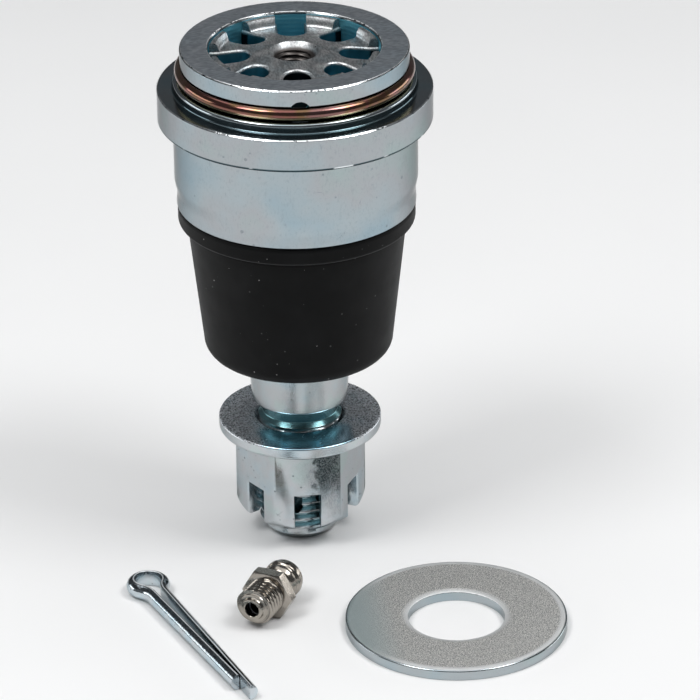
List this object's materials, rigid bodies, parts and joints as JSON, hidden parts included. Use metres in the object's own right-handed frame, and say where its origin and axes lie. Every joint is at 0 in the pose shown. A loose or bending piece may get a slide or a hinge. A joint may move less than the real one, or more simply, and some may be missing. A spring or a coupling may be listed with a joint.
{
  "type": "suspension ball joint",
  "caption": "Press-in suspension ball joint with an adjustable threaded cap, rubber dust boot and tapered stud with castle nut, its washer, split pin and grease fitting laid beside it.",
  "frame": {"origin": "centre of the ball, on the axis of the press-fit sleeve", "axes": "+Z along the sleeve's axis towards the adjuster cap; -Y towards one slot of the castle nut and the laid-out washer"},
  "size_m": [0.0706, 0.0797, 0.0882],
  "materials": {
    "zinc_steel": "bright zinc plating over turned steel, faint iridescence",
    "cap_steel": "zinc plating, slightly darker and grained",
    "stud_steel": "ground and zinc plated steel",
    "nut_steel": "zinc plated forging, mottled grey",
    "washer_steel": "zinc plated pressing, grainy face",
    "lock_wire": "yellow chromate over spring wire, gold to copper",
    "pin_steel": "bright zinc",
    "fitting_steel": "nickel plate, warm grey",
    "ball_race": "sintered steel, oiled",
    "spring_steel": "dark spring steel",
    "boot_rubber": "matte black rubber with dust",
    "seal_rubber": "black nitrile rubber"
  },
  "bodies": {
    "housing": {"housing": "zinc_steel", "lower_seat": "ball_race", "disc_spring": "spring_steel", "cap_seal": "seal_rubber", "adjuster_cap": "cap_steel", "lock_ring": "lock_wire", "boot_upper_ring": "spring_steel", "dust_boot": "boot_rubber"},
    "floating_seat": {"pressure_seat": "ball_race"},
    "boot_neck": {"boot_lower_ring": "spring_steel"},
    "stud": {"ball_stud": "stud_steel", "castle_nut": "nut_steel"},
    "washer": {"flat_washer": "washer_steel"},
    "pin": {"split_pin": "pin_steel"},
    "fitting": {"grease_fitting": "fitting_steel", "fitting_spring": "spring_steel"},
    "fitting_check_ball": {"fitting_ball": "spring_steel"}
  },
  "joints": [
    {"name": "swing_direction", "type": "hinge", "parent": "housing", "child": "floating_seat", "pos_m": [0, 0, 0], "axis": [0, 0, 1], "continuous": true},
    {"name": "stud_swing", "type": "hinge", "parent": "floating_seat", "child": "boot_neck", "pos_m": [0, 0, 0], "axis": [0, 1, 0], "range_deg": [-18, 18], "deforming": ["dust_boot"]},
    {"name": "stud_spin", "type": "hinge", "parent": "boot_neck", "child": "stud", "pos_m": [0, 0, 0], "axis": [0, 0, 1], "continuous": true},
    {"name": "washer_lift", "type": "slide", "parent": "housing", "child": "washer", "axis": [0, 0, 1], "range_m": [0, 0.04]},
    {"name": "pin_lift", "type": "slide", "parent": "housing", "child": "pin", "axis": [0, 0, 1], "range_m": [0, 0.04]},
    {"name": "fitting_lift", "type": "slide", "parent": "housing", "child": "fitting", "axis": [0, 0, 1], "range_m": [0, 0.04]},
    {"name": "fitting_ball_travel", "type": "slide", "parent": "fitting", "child": "fitting_check_ball", "axis": [-0.5519, -0.8339, 0], "range_m": [0, 0.0008], "stiffness_N_per_m": 200, "springref_m": -0.001, "deforming": ["fitting_spring"]}
  ]
}
